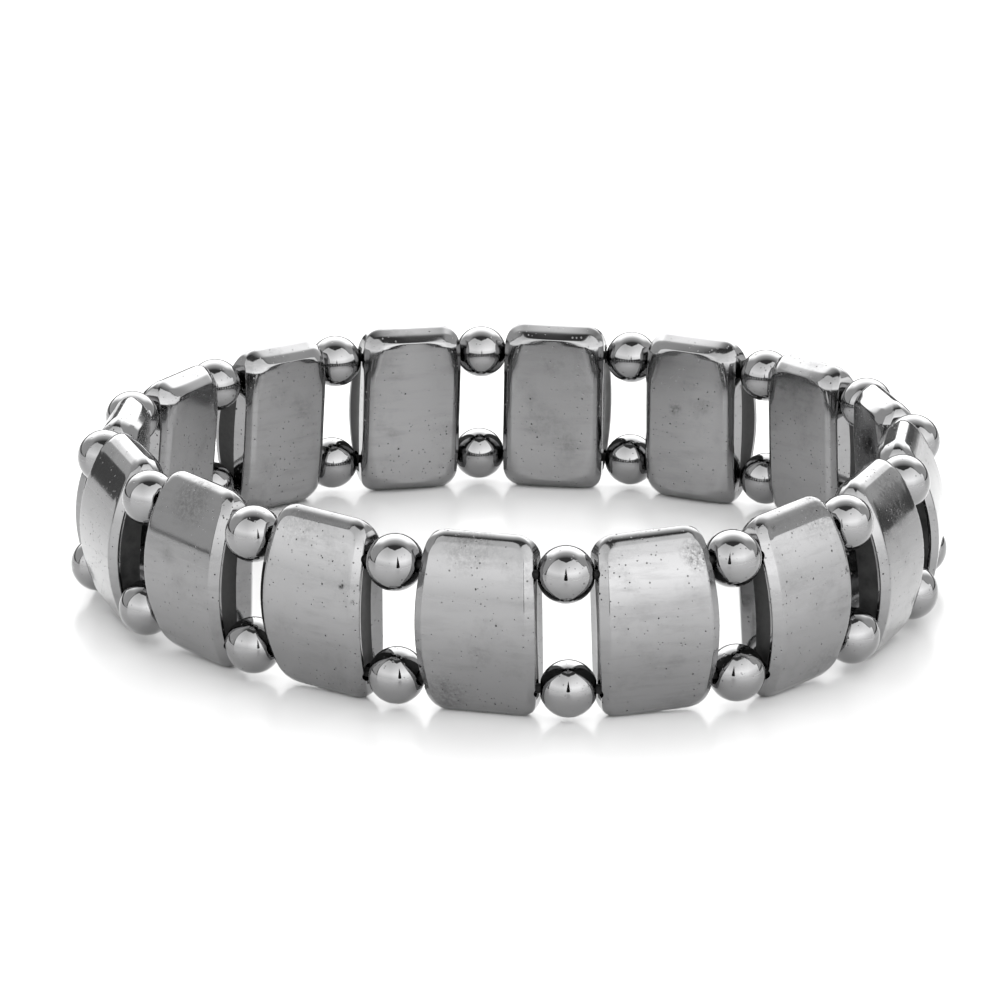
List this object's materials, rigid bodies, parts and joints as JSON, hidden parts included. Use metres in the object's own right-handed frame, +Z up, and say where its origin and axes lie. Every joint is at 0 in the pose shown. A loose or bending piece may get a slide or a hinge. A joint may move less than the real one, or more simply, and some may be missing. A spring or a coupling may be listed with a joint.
{
  "type": "hematite stretch bracelet",
  "caption": "Stretch bracelet of arched, polished rectangular stone plates with pairs of small round beads between them, strung on elastic threads and lying on its side.",
  "frame": {"origin": "middle of the bounding box's bottom face, on the surface it lies on", "axes": "+Z up, along the axis that the wrist takes; -Y toward the front of the picture; +X to its right"},
  "size_m": [0.0664, 0.0704, 0.0138],
  "materials": {
    "hematite": "mirror-polished dark grey stone with fine pits",
    "elastic": "matt black"
  },
  "bodies": {
    "root": {"plate_01": "hematite", "plate_02": "hematite", "plate_03": "hematite", "plate_04": "hematite", "plate_05": "hematite", "plate_06": "hematite", "plate_07": "hematite", "plate_08": "hematite", "plate_09": "hematite", "plate_10": "hematite", "plate_11": "hematite", "plate_12": "hematite", "plate_13": "hematite", "plate_14": "hematite", "plate_15": "hematite", "plate_16": "hematite", "bead_upper_01": "hematite", "bead_upper_02": "hematite", "bead_upper_03": "hematite", "bead_upper_04": "hematite", "bead_upper_05": "hematite", "bead_upper_06": "hematite", "bead_upper_07": "hematite", "bead_upper_08": "hematite", "bead_upper_09": "hematite", "bead_upper_10": "hematite", "bead_upper_11": "hematite", "bead_upper_12": "hematite", "bead_upper_13": "hematite", "bead_upper_14": "hematite", "bead_upper_15": "hematite", "bead_upper_16": "hematite", "bead_lower_01": "hematite", "bead_lower_02": "hematite", "bead_lower_03": "hematite", "bead_lower_04": "hematite", "bead_lower_05": "hematite", "bead_lower_06": "hematite", "bead_lower_07": "hematite", "bead_lower_08": "hematite", "bead_lower_09": "hematite", "bead_lower_10": "hematite", "bead_lower_11": "hematite", "bead_lower_12": "hematite", "bead_lower_13": "hematite", "bead_lower_14": "hematite", "bead_lower_15": "hematite", "bead_lower_16": "hematite", "thread_upper": "elastic", "thread_lower": "elastic"}
  },
  "joints": []
}
